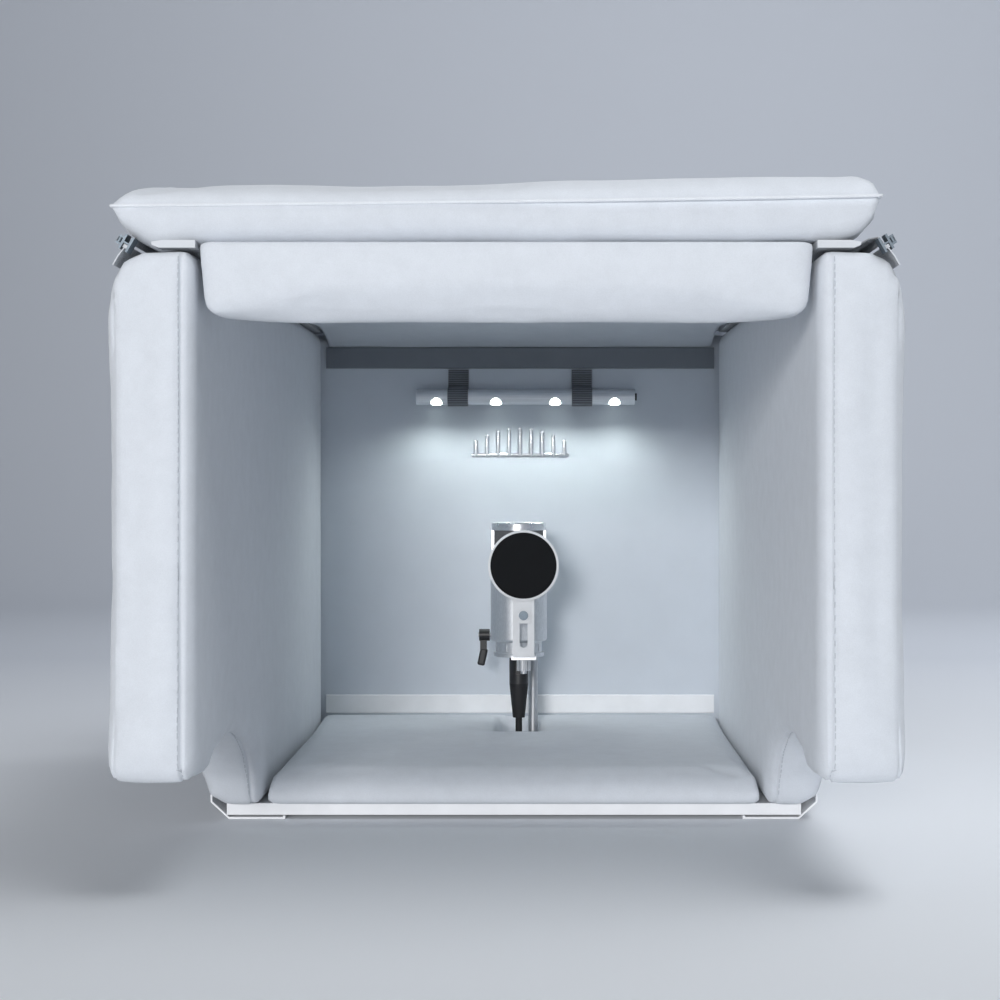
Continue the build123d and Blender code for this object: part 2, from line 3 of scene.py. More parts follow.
import bmesh
import bpy
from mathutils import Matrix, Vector, noise
from mathutils.bvhtree import BVHTree


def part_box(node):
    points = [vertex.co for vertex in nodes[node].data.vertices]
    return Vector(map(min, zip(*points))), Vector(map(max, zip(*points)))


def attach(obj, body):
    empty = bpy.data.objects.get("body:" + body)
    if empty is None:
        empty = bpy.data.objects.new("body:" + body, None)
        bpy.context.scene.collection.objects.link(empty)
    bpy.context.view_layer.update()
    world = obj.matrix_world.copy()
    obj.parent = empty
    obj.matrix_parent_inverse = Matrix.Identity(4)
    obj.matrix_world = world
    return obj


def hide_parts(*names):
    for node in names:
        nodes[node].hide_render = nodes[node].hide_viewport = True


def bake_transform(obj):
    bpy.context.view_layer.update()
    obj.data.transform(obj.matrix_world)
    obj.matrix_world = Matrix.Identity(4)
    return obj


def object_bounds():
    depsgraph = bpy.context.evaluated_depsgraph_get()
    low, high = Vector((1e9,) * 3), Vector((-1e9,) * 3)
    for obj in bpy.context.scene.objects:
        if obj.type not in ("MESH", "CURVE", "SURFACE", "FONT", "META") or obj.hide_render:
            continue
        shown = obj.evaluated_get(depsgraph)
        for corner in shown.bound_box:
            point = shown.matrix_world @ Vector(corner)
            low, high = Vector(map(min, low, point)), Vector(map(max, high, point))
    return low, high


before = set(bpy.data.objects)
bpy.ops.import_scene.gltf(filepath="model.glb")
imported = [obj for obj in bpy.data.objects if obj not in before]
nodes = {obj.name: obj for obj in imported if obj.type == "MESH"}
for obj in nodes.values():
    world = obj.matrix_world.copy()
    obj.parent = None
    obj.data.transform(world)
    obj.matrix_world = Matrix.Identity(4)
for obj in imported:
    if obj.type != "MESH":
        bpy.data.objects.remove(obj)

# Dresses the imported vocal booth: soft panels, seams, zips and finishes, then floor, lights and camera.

cad_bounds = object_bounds()
scene = bpy.context.scene
MM = 0.001

# ---- places read from the imported parts, and given measures -------------------------------
FRONT_Y = Vector(cad_bounds[0]).y
SIDE_LOW, SIDE_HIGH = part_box("side_right_cover")
INNER_X, OUTER_X = SIDE_LOW.x, SIDE_HIGH.x
PANEL_TOP = SIDE_HIGH.z
WALL_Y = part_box("rear_cover")[0].y
BASE_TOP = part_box("base_cover")[1].z
ROOF_LOW, ROOF_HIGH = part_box("roof_cover")
LINER_LOW, LINER_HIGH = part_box("ceiling_liner")

SEAM_X = INNER_X + 9.5 * MM         # stitched seam on the front band
EDGE_SEAM_X = OUTER_X - 2.5 * MM    # seam where the band meets the outer face
RIDGE_Z = ROOF_LOW.z + 23.5 * MM    # ridge seam of the roof pillow
LOBE_BOTTOM = 81 * MM               # lowest point of a side panel's front lobe
LOBE_TOP = 0.25                     # the lobe is let down from this height on
LOBE_START_Y = -0.16                # and from here to the front
ZIP_X, ZIP_Z = 0.2615, 0.456        # line of the closed zip on the right
ZIP_TURN = radians(30)              # how far the zip leans outward
SIM_FRAMES = 16                     # length of the cloth simulation


# ---- materials -------------------------------------------------------------------------------


def material(name, color, roughness=0.5, metallic=0.0, **inputs):
    """A new Principled material and the pieces of its node tree."""
    mat = bpy.data.materials.new(name)
    mat.use_nodes = True
    tree = mat.node_tree
    shader = tree.nodes["Principled BSDF"]
    shader.inputs["Base Color"].default_value = (*color, 1)
    shader.inputs["Roughness"].default_value = roughness
    shader.inputs["Metallic"].default_value = metallic
    for key, value in inputs.items():
        shader.inputs[key.replace("_", " ")].default_value = value
    return mat, tree, shader


def add(tree, kind, links=(), **values):
    """A node with its input values set and linked; links are (input name, source socket)."""
    node = tree.nodes.new(kind)
    for key, value in values.items():
        if hasattr(node, key):
            setattr(node, key, value)
        else:
            node.inputs[key.replace("_", " ")].default_value = value
    for key, source in links:
        tree.links.new(source, node.inputs[key])
    return node


def object_space(tree, scale=(1, 1, 1)):
    coords = add(tree, "ShaderNodeTexCoord")
    stretch = add(tree, "ShaderNodeMapping", [("Vector", coords.outputs["Object"])])
    stretch.inputs["Scale"].default_value = scale
    return stretch.outputs["Vector"]


def tint(tree, shader, factor, dark, light):
    """Colour the surface between two colours by a factor."""
    ramp = add(tree, "ShaderNodeValToRGB", [("Fac", factor)])
    ramp.color_ramp.elements[0].color = (*dark, 1)
    ramp.color_ramp.elements[1].color = (*light, 1)
    ramp.color_ramp.elements[0].position = 0.3
    ramp.color_ramp.elements[1].position = 0.7
    tree.links.new(ramp.outputs["Color"], shader.inputs["Base Color"])


def bump(tree, shader, height, strength, distance):
    node = add(tree, "ShaderNodeBump", [("Height", height)], Strength=strength, Distance=distance)
    tree.links.new(node.outputs["Normal"], shader.inputs["Normal"])


def shade(color, k):
    return tuple(min(1.0, c * k) for c in color)


def felt(name, color, fuzz=0.35):
    """Brushed felt: soft mottling, fine fibres, a dusting of sheen."""
    mat, tree, shader = material(name, color, 0.95, Sheen_Weight=0.25, Sheen_Roughness=0.6)
    space = object_space(tree)
    cloud = add(tree, "ShaderNodeTexNoise", [("Vector", space)], Scale=55, Detail=6, Roughness=0.65)
    fibre = add(tree, "ShaderNodeTexNoise", [("Vector", space)], Scale=1150, Detail=3, Roughness=0.7)
    both = add(tree, "ShaderNodeMath", [(0, cloud.outputs["Fac"]), (1, fibre.outputs["Fac"])],
               operation="ADD")
    half = add(tree, "ShaderNodeMath", [(0, both.outputs[0])], operation="MULTIPLY")
    half.inputs[1].default_value = 0.5
    tint(tree, shader, half.outputs[0], shade(color, 0.93), shade(color, 1.06))
    bump(tree, shader, both.outputs[0], fuzz, 0.6 * MM)
    return mat


def ribbed_cloth(name, color):
    """Smooth cloth with a fine horizontal rib."""
    mat, tree, shader = material(name, color, 0.85, Sheen_Weight=0.12, Sheen_Roughness=0.5)
    space = object_space(tree)
    rib = add(tree, "ShaderNodeTexWave", [("Vector", space)], wave_type="BANDS", bands_direction="Z",
              Scale=520, Distortion=0.4, Detail=1, Detail_Scale=2)
    cloud = add(tree, "ShaderNodeTexNoise", [("Vector", space)], Scale=30, Detail=5)
    tint(tree, shader, cloud.outputs["Fac"], shade(color, 0.985), shade(color, 1.015))
    bump(tree, shader, rib.outputs["Fac"], 0.25, 0.3 * MM)
    return mat


def webbing(name, color, direction, period):
    """Ribbed elastic or woven tape, its ribs a period apart along a direction."""
    mat, tree, shader = material(name, color, 0.8, Sheen_Weight=0.1)
    rib = add(tree, "ShaderNodeTexWave", [("Vector", object_space(tree))], wave_type="BANDS",
              bands_direction=direction, Scale=0.1 * pi / period, Distortion=0.2)
    tint(tree, shader, rib.outputs["Fac"], shade(color, 0.6), shade(color, 1.25))
    bump(tree, shader, rib.outputs["Fac"], 0.7, 0.5 * MM)
    return mat


def metal(name, color, roughness, grain=(1, 1, 1), depth=0.08):
    """Metal with brush marks that run along the axes whose grain scale is small."""
    mat, tree, shader = material(name, color, roughness, 1.0)
    space = object_space(tree, grain)
    marks = add(tree, "ShaderNodeTexNoise", [("Vector", space)], Scale=900, Detail=4, Roughness=0.6)
    wear = add(tree, "ShaderNodeTexNoise", [("Vector", object_space(tree))], Scale=60, Detail=4)
    uneven = add(tree, "ShaderNodeMapRange", [("Value", wear.outputs["Fac"])],
                 To_Min=roughness * 0.8, To_Max=roughness * 1.25)
    tree.links.new(uneven.outputs["Result"], shader.inputs["Roughness"])
    tint(tree, shader, marks.outputs["Fac"], shade(color, 0.9), shade(color, 1.06))
    bump(tree, shader, marks.outputs["Fac"], depth, 0.2 * MM)
    return mat


def moulded(name, color, roughness=0.5, grain=700, depth=0.12):
    """Paint, plastic or rubber with a fine texture and slightly uneven gloss."""
    mat, tree, shader = material(name, color, roughness)
    space = object_space(tree)
    skin = add(tree, "ShaderNodeTexNoise", [("Vector", space)], Scale=grain, Detail=3)
    gloss = add(tree, "ShaderNodeTexNoise", [("Vector", space)], Scale=40, Detail=3)
    uneven = add(tree, "ShaderNodeMapRange", [("Value", gloss.outputs["Fac"])],
                 To_Min=roughness * 0.85, To_Max=min(1.0, roughness * 1.15))
    tree.links.new(uneven.outputs["Result"], shader.inputs["Roughness"])
    tint(tree, shader, gloss.outputs["Fac"], shade(color, 0.96), shade(color, 1.03))
    bump(tree, shader, skin.outputs["Fac"], depth, 0.2 * MM)
    return mat


def gauze(name, color, scale):
    """Fine woven net: two crossed sets of threads."""
    mat, tree, shader = material(name, color, 0.8, Sheen_Weight=0.03, Specular_IOR_Level=0.25)
    space = object_space(tree)
    threads = [add(tree, "ShaderNodeTexWave", [("Vector", space)], wave_type="BANDS", bands_direction=d,
                   Scale=scale, Distortion=0.0) for d in ("X", "Z")]
    weave = add(tree, "ShaderNodeMath", [(0, threads[0].outputs["Fac"]), (1, threads[1].outputs["Fac"])],
                operation="MULTIPLY")
    tint(tree, shader, weave.outputs[0], shade(color, 0.5), shade(color, 1.8))
    bump(tree, shader, weave.outputs[0], 0.5, 0.3 * MM)
    return mat


def glowing(name, color, strength):
    mat, tree, shader = material(name, color, 0.3)
    shader.inputs["Emission Color"].default_value = (*color, 1)
    shader.inputs["Emission Strength"].default_value = strength
    grain = add(tree, "ShaderNodeTexNoise", [("Vector", object_space(tree))], Scale=300, Detail=2)
    bump(tree, shader, grain.outputs["Fac"], 0.1, 0.1 * MM)
    return mat


FELT = felt("felt", (0.70, 0.735, 0.79))
LINING = felt("lining", (0.60, 0.64, 0.70), 0.25)
WALL_CLOTH = ribbed_cloth("wall_cloth", (0.67, 0.715, 0.78))
THREAD = moulded("thread", (0.56, 0.59, 0.64), 0.8)
WELT = felt("welt", (0.78, 0.81, 0.86), 0.2)
TAPE = webbing("zip_tape", (0.54, 0.56, 0.59), "Y", 1.2 * MM)
ELASTIC = webbing("elastic", (0.17, 0.18, 0.20), "Z", 2.4 * MM)
WHITE_BOARD = moulded("white_board", (0.91, 0.92, 0.945), 0.45, 160, 0.05)
WHITE_STEEL = moulded("white_steel", (0.92, 0.93, 0.95), 0.4, 900, 0.08)
# Top rail: a grey rail painted darker still, as painted shade from the valance above it.
GREY_RAIL_PAINTED_SHADE = moulded("grey_steel", (0.20, 0.22, 0.25), 0.5, 900, 0.08)
ZIP_METAL = metal("zip_metal", (0.23, 0.27, 0.31), 0.6)
STEEL = metal("steel", (0.60, 0.61, 0.63), 0.32)
SATIN_STEEL = metal("satin_steel", (0.56, 0.57, 0.59), 0.45, (1, 1, 0.02))
ALUMINIUM = metal("brushed_aluminium", (0.82, 0.84, 0.87), 0.5, (0.02, 1, 1), 0.12)
CHROME = metal("chrome", (0.92, 0.93, 0.95), 0.2, depth=0.01)
NICKEL = metal("mic_nickel", (0.78, 0.79, 0.81), 0.45, (1, 1, 0.3), 0.08)
BRIGHT = metal("mic_bright", (0.84, 0.85, 0.87), 0.28, depth=0.03)
WIRE = gauze("mic_mesh", (0.22, 0.225, 0.235), 420)
GAUZE = gauze("black_gauze", (0.010, 0.011, 0.013), 380)
BLACK_PLASTIC = moulded("black_plastic", (0.018, 0.018, 0.020), 0.42)
BLACK_RUBBER = moulded("black_rubber", (0.014, 0.014, 0.016), 0.7, 500, 0.2)
BLACK_STEEL = moulded("black_steel", (0.03, 0.03, 0.033), 0.5)
SILVER = moulded("silver_paint", (0.84, 0.85, 0.87), 0.35, 900, 0.05)
BRASS = metal("brass", (0.78, 0.60, 0.30), 0.3)
CELLS = moulded("battery", (0.10, 0.10, 0.11), 0.3)
CIRCUIT = moulded("circuit_green", (0.04, 0.22, 0.10), 0.35)
LED = glowing("led_lens", (0.90, 1.0, 0.93), 9.0)

# ---- mesh helpers ----------------------------------------------------------------------------


def piece(name, mesh, body, mat, replaced=()):
    """Put a mesh in the scene as a finished piece that rides on a body, if one is given."""
    obj = bpy.data.objects.new(name, mesh)
    scene.collection.objects.link(obj)
    mesh.materials.clear()
    mesh.materials.append(mat)
    mesh.polygons.foreach_set("use_smooth", [True] * len(mesh.polygons))
    if body:
        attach(obj, body)
    if replaced:
        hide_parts(*replaced)
    return obj


def from_bmesh(bm, name):
    bmesh.ops.recalc_face_normals(bm, faces=bm.faces)
    mesh = bpy.data.meshes.new(name)
    bm.to_mesh(mesh)
    bm.free()
    return mesh


def evaluated(obj):
    """The object's mesh with its modifiers applied."""
    bpy.context.view_layer.update()
    graph = bpy.context.evaluated_depsgraph_get()
    return bpy.data.meshes.new_from_object(obj.evaluated_get(graph))


def bake(obj):
    mesh = evaluated(obj)
    obj.modifiers.clear()
    obj.data = mesh


def largest_island(mesh):
    """Drop every part of the mesh but the largest, such as the wall of a cavity inside."""
    bm = bmesh.new()
    bm.from_mesh(mesh)
    todo, islands = set(bm.verts), []
    while todo:
        stack, island = [todo.pop()], []
        while stack:
            v = stack.pop()
            island.append(v)
            for e in v.link_edges:
                w = e.other_vert(v)
                if w in todo:
                    todo.remove(w)
                    stack.append(w)
        islands.append(island)
    islands.sort(key=len)
    bmesh.ops.delete(bm, geom=[v for island in islands[:-1] for v in island], context="VERTS")
    bm.to_mesh(mesh)
    bm.free()


def soft_copy(node, voxel, grow):
    """A working object: the node's outer surface as an even mesh, pushed out by grow."""
    obj = bpy.data.objects.new("soft_" + node, nodes[node].data.copy())
    scene.collection.objects.link(obj)
    mod = obj.modifiers.new("remesh", "REMESH")
    mod.mode = "VOXEL"
    mod.voxel_size = voxel
    bake(obj)
    largest_island(obj.data)
    mesh = obj.data
    push = [v.co + v.normal * grow for v in mesh.vertices]
    for v, co in zip(mesh.vertices, push):
        v.co = co
    mesh.update()
    return obj


def inflate(obj, pressure, cap, pinned):
    """Blow the piece up as cloth round its filling; pinned(co) holds points where it rests on something."""
    mesh = obj.data
    start = [v.co.copy() for v in mesh.vertices]
    held = [pinned(co) for co in start]
    group = obj.vertex_groups.new(name="held")
    group.add([i for i, h in enumerate(held) if h], 1.0, "REPLACE")
    mod = obj.modifiers.new("cloth", "CLOTH")
    cloth = mod.settings
    cloth.quality = 4
    cloth.mass = 0.3
    cloth.tension_stiffness = cloth.compression_stiffness = 12
    cloth.bending_stiffness = 0.6
    cloth.use_pressure = True
    cloth.uniform_pressure_force = pressure
    cloth.effector_weights.gravity = 0
    cloth.vertex_group_mass = "held"
    mod.point_cache.frame_start = 1
    mod.point_cache.frame_end = SIM_FRAMES
    for f in range(1, SIM_FRAMES + 1):
        scene.frame_set(f)
    ends = [v.co.copy() for v in evaluated(obj).vertices]
    obj.modifiers.clear()
    scene.frame_set(1)
    for v, a, b, h in zip(mesh.vertices, start, ends, held):
        move = b - a
        if h or move.length == 0:
            v.co = a
        else:
            v.co = a + move * min(1.0, cap / move.length)
    mesh.update()


def relax(obj, steps):
    mod = obj.modifiers.new("relax", "SMOOTH")
    mod.factor = 0.5
    mod.iterations = steps
    bake(obj)


def let_down(mesh, bottom):
    """Bring the front lobe's lower end back to its height after the filling has drawn it up."""
    lobe = [v for v in mesh.vertices if v.co.y < -0.30 and v.co.z < LOBE_TOP]
    drop = bottom - min(v.co.z for v in lobe)
    for v in mesh.vertices:
        if v.co.y < LOBE_START_Y:
            low = max(0.0, min(1.0, (LOBE_TOP - v.co.z) / 0.16))
            ahead = max(0.0, min(1.0, (LOBE_START_Y - v.co.y) / 0.12))
            v.co.z += drop * low * ahead


def clamp_x(mesh, low):
    """Keep a side panel's inner face outside the space between the panels."""
    for v in mesh.vertices:
        if abs(v.co.x) < low:
            v.co.x = low if v.co.x > 0 else -low


def groove(mesh, x, width, depth, band):
    """Sew a seam into the mesh: cut it along planes about x and draw the middle line in."""
    bm = bmesh.new()
    bm.from_mesh(mesh)
    for offset in (-width, -width / 2, 0, width / 2, width):
        geom = bm.verts[:] + bm.edges[:] + bm.faces[:]
        bmesh.ops.bisect_plane(bm, geom=geom, plane_co=(x + offset, 0, 0), plane_no=(1, 0, 0), dist=1e-6)
    bm.normal_update()
    moves = []
    for v in bm.verts:
        away = abs(v.co.x - x)
        if away < width * 0.9 and abs(v.normal.x) < 0.75 and band(v.co):
            moves.append((v, v.co - v.normal * depth * (1 - away / width)))
    for v, co in moves:
        v.co = co
    bm.to_mesh(mesh)
    bm.free()


def capsule(bm, a, b, r, sides=8, rings=3, flat=None):
    """A round-ended rod from a to b; flat squeezes it along one direction by a factor."""
    axis = (b - a).normalized()
    side = axis.orthogonal().normalized()
    up = axis.cross(side)
    loops = []
    profile = [(-cos(pi / 2 * i / rings), sin(pi / 2 * i / rings)) for i in range(rings + 1)]
    for end, sign in ((a, 1), (b, -1)):
        steps = profile if sign == 1 else [(-d, w) for d, w in reversed(profile)]
        for d, w in steps:
            loop = []
            for k in range(sides):
                t = 2 * pi * k / sides
                out = (side * cos(t) + up * sin(t)) * r * max(w, 0.02)
                if flat:
                    out -= flat[0] * out.dot(flat[0]) * (1 - flat[1])
                loop.append(bm.verts.new(end + axis * d * r + out))
            loops.append(loop)
    for low, high in zip(loops, loops[1:]):
        for k in range(sides):
            bm.faces.new((low[k], low[(k + 1) % sides], high[(k + 1) % sides], high[k]))
    bm.faces.new(loops[0])
    bm.faces.new(loops[-1])


def curve_points(points, step):
    """Points at even steps along a smooth line through the given points."""
    dense = []
    padded = [points[0] * 2 - points[1], *points, points[-1] * 2 - points[-2]]
    for p0, p1, p2, p3 in zip(padded, padded[1:], padded[2:], padded[3:]):
        for k in range(24):
            t = k / 24
            dense.append(0.5 * (2 * p1 + (p2 - p0) * t + (2 * p0 - 5 * p1 + 4 * p2 - p3) * t * t
                                + (3 * p1 - p0 - 3 * p2 + p3) * t ** 3))
    dense.append(points[-1])
    found, travelled = [dense[0]], 0.0
    for a, b in zip(dense, dense[1:]):
        travelled += (b - a).length
        if travelled >= step:
            found.append(b)
            travelled = 0.0
    return found


def stitches(name, lines, surface, body):
    """Rows of thread stitches laid on a surface along the given lines."""
    length, r, pitch = 3.4 * MM, 0.42 * MM, 5.2 * MM
    tree = BVHTree.FromObject(surface, bpy.context.evaluated_depsgraph_get())
    bm = bmesh.new()
    for line in lines:
        spots = [tree.find_nearest(p)[:2] for p in curve_points(line, pitch)]
        for (p, n), (q, _) in zip(spots, spots[1:]):
            along = q - p
            if along.length < 1e-6:
                continue
            along = along.normalized() * length / 2
            capsule(bm, p - along + n * 0.1 * MM, p + along + n * 0.1 * MM, r, sides=6, rings=2)
    return piece(name, from_bmesh(bm, name), body, THREAD)


def tube(name, line, r, body, mat, closed=False, sides=10):
    """A thin tube along a list of points."""
    bm = bmesh.new()
    loops = []
    count = len(line)
    for i, p in enumerate(line):
        before = line[i - 1] if i or closed else p
        after = line[(i + 1) % count] if i < count - 1 or closed else p
        axis = (after - before).normalized()
        side = axis.cross(Vector((0, 0, 1)) if abs(axis.z) < 0.9 else Vector((0, 1, 0))).normalized()
        up = side.cross(axis)
        loops.append([bm.verts.new(p + (side * cos(2 * pi * k / sides) + up * sin(2 * pi * k / sides)) * r)
                      for k in range(sides)])
    pairs = list(zip(loops, loops[1:])) + ([(loops[-1], loops[0])] if closed else [])
    for low, high in pairs:
        for k in range(sides):
            bm.faces.new((low[k], low[(k + 1) % sides], high[(k + 1) % sides], high[k]))
    if not closed:
        bm.faces.new(loops[0])
        bm.faces.new(loops[-1])
    return piece(name, from_bmesh(bm, name), body, mat)


def finish_soft(obj, name, body, mat, replaced):
    """Turn a working object into the finished padded piece."""
    mesh = obj.data
    bpy.data.objects.remove(obj)
    made = piece(name, mesh, body, mat, replaced)
    return made


# ---- side panels -----------------------------------------------------------------------------

BAND_LINE = [(FRONT_Y, 0.446), (FRONT_Y, 0.30), (FRONT_Y, 0.112), (-0.414, 0.093), (-0.400, 0.0855),
             (-0.385, 0.085), (-0.330, 0.092), (-0.265, 0.100), (-0.190, 0.089), (-0.137, 0.066),
             (-0.110, 0.037), (-0.098, 0.016)]


def side_panel(side, sign):
    obj = soft_copy(f"side_{side}_foam", 6 * MM, 1.2 * MM)

    def held(co):
        on_inner_face = abs(co.x) < INNER_X + 3 * MM and co.y > FRONT_Y + 20 * MM
        under_roof = co.z > PANEL_TOP - 6 * MM and co.y > FRONT_Y + 30 * MM
        return on_inner_face or under_roof or co.z < BASE_TOP or co.y > WALL_Y - 12 * MM

    inflate(obj, 3.0, 4.5 * MM, held)
    relax(obj, 4)
    let_down(obj.data, LOBE_BOTTOM)
    clamp_x(obj.data, INNER_X)

    def on_band(co):
        return co.y < -0.085 and co.z < PANEL_TOP - 3 * MM

    groove(obj.data, sign * SEAM_X, 2.2 * MM, 1.5 * MM, on_band)
    groove(obj.data, sign * EDGE_SEAM_X, 1.6 * MM, 0.9 * MM, on_band)
    made = finish_soft(obj, f"side_panel_{side}", "shell", FELT,
                       (f"side_{side}_cover", f"side_{side}_foam", f"side_{side}_board"))
    lines = [[Vector((sign * (SEAM_X + 1.9 * MM), y, z)) for y, z in BAND_LINE]]
    stitches(f"side_stitches_{side}", lines, made, "shell")
    return made


def corner_piping(side, sign, panel):
    """Piping down the outside where a side panel meets the rear wall."""
    tree = BVHTree.FromObject(panel, bpy.context.evaluated_depsgraph_get())
    rough = [Vector((sign * OUTER_X, WALL_Y - 2 * MM, z)) for z in (0.030, 0.15, 0.30, 0.425)]
    line = [tree.find_nearest(p)[0] + Vector((sign * 0.3 * MM, 0, 0)) for p in curve_points(rough, 6 * MM)]
    tube(f"corner_piping_{side}", line, 1.3 * MM, "shell", WELT, sides=8)


# ---- rear wall, floor pad, valance ------------------------------------------------------------


def rear_wall():
    obj = soft_copy("rear_foam", 8 * MM, 1.9 * MM)
    inflate(obj, 3.0, 5 * MM, lambda co: co.y < WALL_Y + 12 * MM or co.z < 0.03)
    relax(obj, 2)
    for v in obj.data.vertices:
        if v.co.y < WALL_Y + 2 * MM:
            v.co.y = WALL_Y
    finish_soft(obj, "rear_wall", "shell", WALL_CLOTH,
                ("rear_cover", "rear_foam", "rear_board"))


def floor_pad():
    obj = soft_copy("base_foam", 5 * MM, 1.7 * MM)
    slot_half, slot_front = 0.030, 0.200

    def held(co):
        by_slot = abs(co.x) < slot_half and co.y > slot_front
        return by_slot or co.z < 0.018 or co.y > WALL_Y - 20 * MM

    inflate(obj, 3.0, 3.5 * MM, held)
    relax(obj, 3)
    edge = INNER_X - 0.8 * MM
    for v in obj.data.vertices:
        v.co.x = max(-edge, min(edge, v.co.x))
    finish_soft(obj, "floor_pad", "shell", FELT, ("base_cover", "base_foam"))


def valance():
    obj = soft_copy("valance", 4 * MM, -0.8 * MM)
    inflate(obj, 3.5, 4.5 * MM, lambda co: co.z > ROOF_LOW.z - 5 * MM)
    relax(obj, 4)
    edge = INNER_X - 0.5 * MM
    for v in obj.data.vertices:
        v.co.x = max(-edge, min(edge, v.co.x))
    finish_soft(obj, "valance_pad", "roof", FELT, ("valance",))


# ---- roof ------------------------------------------------------------------------------------


def dome(t):
    """0 at the seam, 1 from one unit inside it on, round in between."""
    t = max(0.0, min(1.0, t))
    return sqrt(1 - (1 - t) ** 2)


def roof_point(u, v, up):
    """A point of the roof pillow's upper or lower cloth; u and v run from -1 to 1 across it."""
    half_x = ROOF_HIGH.x * (0.967 if u > 0 else 1.018)   # it sits a little to the left
    half_y = (ROOF_HIGH.y - ROOF_LOW.y) / 2
    mid_y = (ROOF_HIGH.y + ROOF_LOW.y) / 2
    pull = 5 * MM
    x = u * (half_x - pull * (1 - v ** 4) * abs(u) ** 3)
    y = mid_y + v * (half_y - 0.8 * pull * (1 - u ** 4) * abs(v) ** 3)
    from_side = half_x - abs(u) * half_x
    from_end = half_y - abs(v) * half_y
    if up:
        puff = dome(from_side / (17 * MM)) * dome(from_end / (20 * MM))
        crown = 2.5 * MM * (1 - u ** 4) * (1 - v ** 4)
        z = RIDGE_Z + (ROOF_HIGH.z - 3 * MM - RIDGE_Z) * puff + crown
    else:
        puff = dome(from_side / (31 * MM)) * dome(from_end / (20 * MM))
        sag = 4.5 * MM if x < 0 else 1.5 * MM
        sag *= exp(-((abs(x) - 0.238) / (14 * MM)) ** 2) * dome(from_end / (30 * MM))
        z = RIDGE_Z - (RIDGE_Z - ROOF_LOW.z) * puff - sag
    lean = x / half_x
    z += (3.0 + 2.0 * lean) * MM * (1 if up else 1 - puff) + 1.5 * MM * lean
    corner = exp(-((from_side + from_end) / (55 * MM)) ** 2)
    crease = noise.noise(Vector((x * 16, y * 16, 3.0 if up else 9.0)))
    fold = noise.noise(Vector((x * 45, y * 45, 3.0 if up else 9.0)))
    z += (crease * 1.2 * MM + fold * 2.8 * MM * corner) * dome(min(from_side, from_end) / (15 * MM))
    return Vector((x, y, z))


def spread(count):
    """Even steps from -1 to 1 that crowd together at both ends."""
    return [sin(pi / 2 * (2 * i / count - 1)) * 0.35 + (2 * i / count - 1) * 0.65 for i in range(count + 1)]


def roof():
    across, along = 104, 150
    us, vs = spread(across), spread(along)
    bm = bmesh.new()
    grids = []
    for up in (True, False):
        grid = [[bm.verts.new(roof_point(u, v, up)) for v in vs] for u in us]
        for i in range(across):
            for j in range(along):
                bm.faces.new((grid[i][j], grid[i + 1][j], grid[i + 1][j + 1], grid[i][j + 1]))
        grids.append(grid)
    bmesh.ops.remove_doubles(bm, verts=bm.verts[:], dist=0.02 * MM)
    obj = bpy.data.objects.new("roof_work", from_bmesh(bm, "roof_pillow"))
    scene.collection.objects.link(obj)

    def held(co):
        near_ridge = abs(co.z - RIDGE_Z) < 2.5 * MM
        return near_ridge or (co.z < RIDGE_Z and abs(co.x) < INNER_X + 8 * MM and co.y > FRONT_Y + 20 * MM)

    inflate(obj, 2.0, 3.0 * MM, held)
    finish_soft(obj, "roof_pillow", "roof", FELT, ("roof_cover", "roof_foam", "roof_board"))
    ring = [roof_point(-1, v, True) for v in vs]
    ring += [roof_point(u, 1, True) for u in us[1:]]
    ring += [roof_point(1, v, True) for v in reversed(vs[:-1])]
    ring += [roof_point(u, -1, True) for u in reversed(us[1:-1])]
    tube("roof_welt", ring, 1.2 * MM, "roof", WELT, closed=True)


def ceiling():
    """Ceiling cloth: flat at the front, with a soft roll where it meets the rear wall."""
    half = LINER_HIGH.x
    y0, y1 = LINER_LOW.y, LINER_HIGH.y
    flat_z = LINER_HIGH.z - 3 * MM
    drop = flat_z - LINER_LOW.z
    bm = bmesh.new()
    us, vs = spread(70), [1 - (1 - j / 110) ** 1.6 for j in range(111)]
    grid = []
    for u in us:
        row = []
        for t in vs:
            y = y0 + (y1 - y0) * t
            late = max(0.0, (y - 0.19) / (y1 - 0.19))
            z = flat_z - drop * late ** 3.2
            from_edge = half - abs(u) * half
            z -= 6 * MM * (1 - late) ** 2 * exp(-((from_edge - 5 * MM) / (7 * MM)) ** 2)
            z += (LINER_HIGH.z - z) * (1 - dome(from_edge / (5 * MM)))
            z += noise.noise(Vector((u * half * 14, y * 14, 2.0))) * 0.8 * MM * dome(from_edge / (30 * MM))
            row.append((bm.verts.new((u * half, y, min(z, LINER_HIGH.z - 0.1 * MM))),
                        bm.verts.new((u * half, y, LINER_HIGH.z))))
        grid.append(row)
    for k in (0, 1):
        for a, b in zip(grid, grid[1:]):
            for j in range(len(vs) - 1):
                bm.faces.new((a[j][k], b[j][k], b[j + 1][k], a[j + 1][k]))
    for a, b in zip(grid, grid[1:]):
        for j in (0, -1):
            bm.faces.new((a[j][0], b[j][0], b[j][1], a[j][1]))
    for row in (grid[0], grid[-1]):
        for a, b in zip(row, row[1:]):
            bm.faces.new((a[0], b[0], b[1], a[1]))
    made = piece("ceiling_cloth", from_bmesh(bm, "ceiling_cloth"), "roof", LINING, ("ceiling_liner",))


